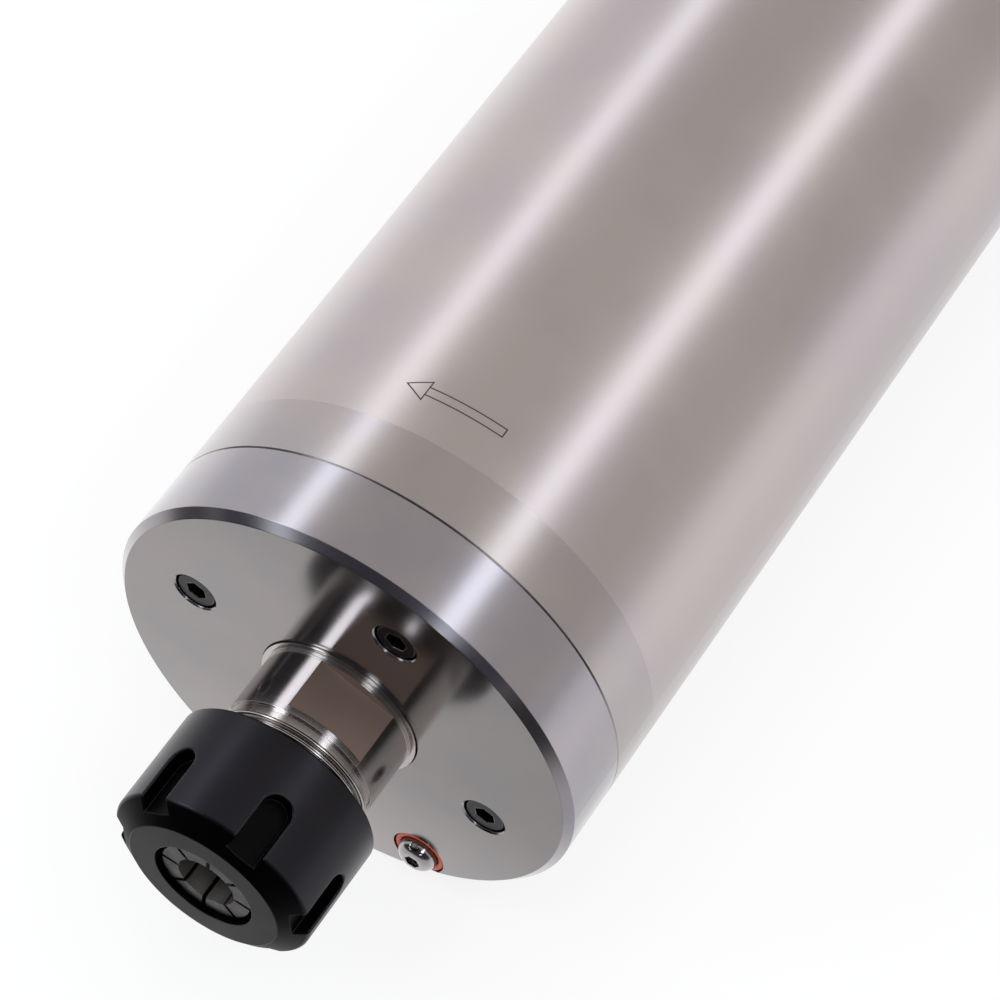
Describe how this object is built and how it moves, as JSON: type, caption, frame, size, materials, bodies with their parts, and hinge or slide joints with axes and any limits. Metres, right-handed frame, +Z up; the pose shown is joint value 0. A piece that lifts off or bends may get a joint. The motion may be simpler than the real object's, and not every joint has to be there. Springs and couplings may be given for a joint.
{
  "type": "motor spindle",
  "caption": "Water-cooled motor spindle with a smooth ground steel barrel, a slotted collet nut on a short nose, and a power socket and tube fittings at the rear.",
  "frame": {"origin": "centre of the collet's mouth, on the spindle axis", "axes": "+Y along the spindle axis from the nose towards the rear cover, +Z up, towards the power socket's side, +X to the right seen from the nose"},
  "size_m": [0.1, 0.3159, 0.1],
  "materials": {
    "ground_steel": "ground round with fine bright bands along the axis",
    "turned_steel": "satin turned face with rings",
    "black_oxide": "satin black oxide",
    "collet_steel": "fine ground",
    "shaft_steel": "hardened and ground, matt on the flats",
    "bearing_steel": "polished bearing steel",
    "cage_resin": "moulded phenolic resin",
    "lamination": "stacked sheet steel",
    "rotor_alloy": "cast aluminium cage",
    "copper": "enamelled copper wire",
    "jacket_alloy": "machined aluminium",
    "spring_steel": "tempered spring steel",
    "dark_rubber": "nitrile rubber",
    "red_seal": "orange-red silicone rubber",
    "polished_steel": "polished stainless steel",
    "socket_metal": "nickel plated die casting",
    "socket_resin": "black moulded resin",
    "gold_pins": "gold plated",
    "lead_sleeve": "silicone sleeved wire",
    "nickel_brass": "nickel plated brass",
    "collar_resin": "blue moulded resin",
    "washer_resin": "hard resin washer"
  },
  "bodies": {
    "housing": {"front_cover": "turned_steel", "cover_screws": "black_oxide", "bleed_screw": "polished_steel", "bleed_seal": "red_seal", "front_bearing_housing": "ground_steel", "outer_sleeve": "ground_steel", "rear_bearing_housing": "ground_steel", "rear_cover": "turned_steel", "rear_cover_screws": "black_oxide", "front_outer_rings": "bearing_steel", "front_outer_spacer": "bearing_steel", "rear_outer_rings": "bearing_steel", "cooling_jacket": "jacket_alloy", "sleeve_seals": "dark_rubber", "stator_core": "lamination", "stator_windings": "copper", "preload_springs": "spring_steel", "bearing_carrier": "shaft_steel", "passage_seals": "dark_rubber", "socket_shell": "socket_metal", "socket_insert": "socket_resin", "socket_pins": "gold_pins", "socket_screws": "black_oxide", "motor_leads": "lead_sleeve", "water_inlet": "nickel_brass", "water_outlet": "nickel_brass", "port_washers": "washer_resin"},
    "spindle": {"shaft": "shaft_steel", "rotor_core": "lamination", "rotor_cage": "rotor_alloy", "front_inner_rings": "bearing_steel", "front_inner_spacer": "bearing_steel", "front_lock_nut": "black_oxide", "rear_inner_rings": "bearing_steel", "rear_lock_nut": "black_oxide"},
    "front_ball_sets": {"front_balls": "bearing_steel", "front_cages": "cage_resin"},
    "rear_ball_sets": {"rear_balls": "bearing_steel", "rear_cages": "cage_resin"},
    "collet": {"collet": "collet_steel"},
    "collet_nut": {"collet_nut": "black_oxide"},
    "inlet_collar": {"inlet_collar": "collar_resin"},
    "outlet_collar": {"outlet_collar": "collar_resin"}
  },
  "joints": [
    {"name": "spindle_spin", "type": "hinge", "parent": "housing", "child": "spindle", "pos_m": [0, 0.0796, 0], "axis": [0, -1, 0], "continuous": true},
    {"name": "front_cage_spin", "type": "hinge", "parent": "housing", "child": "front_ball_sets", "pos_m": [0, 0.0796, 0], "axis": [0, -1, 0], "continuous": true},
    {"name": "rear_cage_spin", "type": "hinge", "parent": "housing", "child": "rear_ball_sets", "pos_m": [0, 0.25325, 0], "axis": [0, -1, 0], "continuous": true},
    {"name": "collet_slide", "type": "slide", "parent": "spindle", "child": "collet", "axis": [0, -1, 0], "range_m": [0, 0.009]},
    {"name": "nut_turn", "type": "hinge", "parent": "collet", "child": "collet_nut", "pos_m": [0, 0.01125, 0], "axis": [0, -1, 0], "range_deg": [0, 2160]},
    {"name": "inlet_release", "type": "slide", "parent": "housing", "child": "inlet_collar", "axis": [0, -1, 0], "range_m": [0, 0.0012], "stiffness_N_per_m": 400},
    {"name": "outlet_release", "type": "slide", "parent": "housing", "child": "outlet_collar", "axis": [0, -1, 0], "range_m": [0, 0.0012], "stiffness_N_per_m": 400}
  ],
  "couplings": [
    {"joint": "front_cage_spin", "follows": "spindle_spin", "ratio": 0.4189},
    {"joint": "rear_cage_spin", "follows": "spindle_spin", "ratio": 0.4148},
    {"joint": "collet_slide", "follows": "nut_turn", "m_per_rad": 0.00023873}
  ]
}
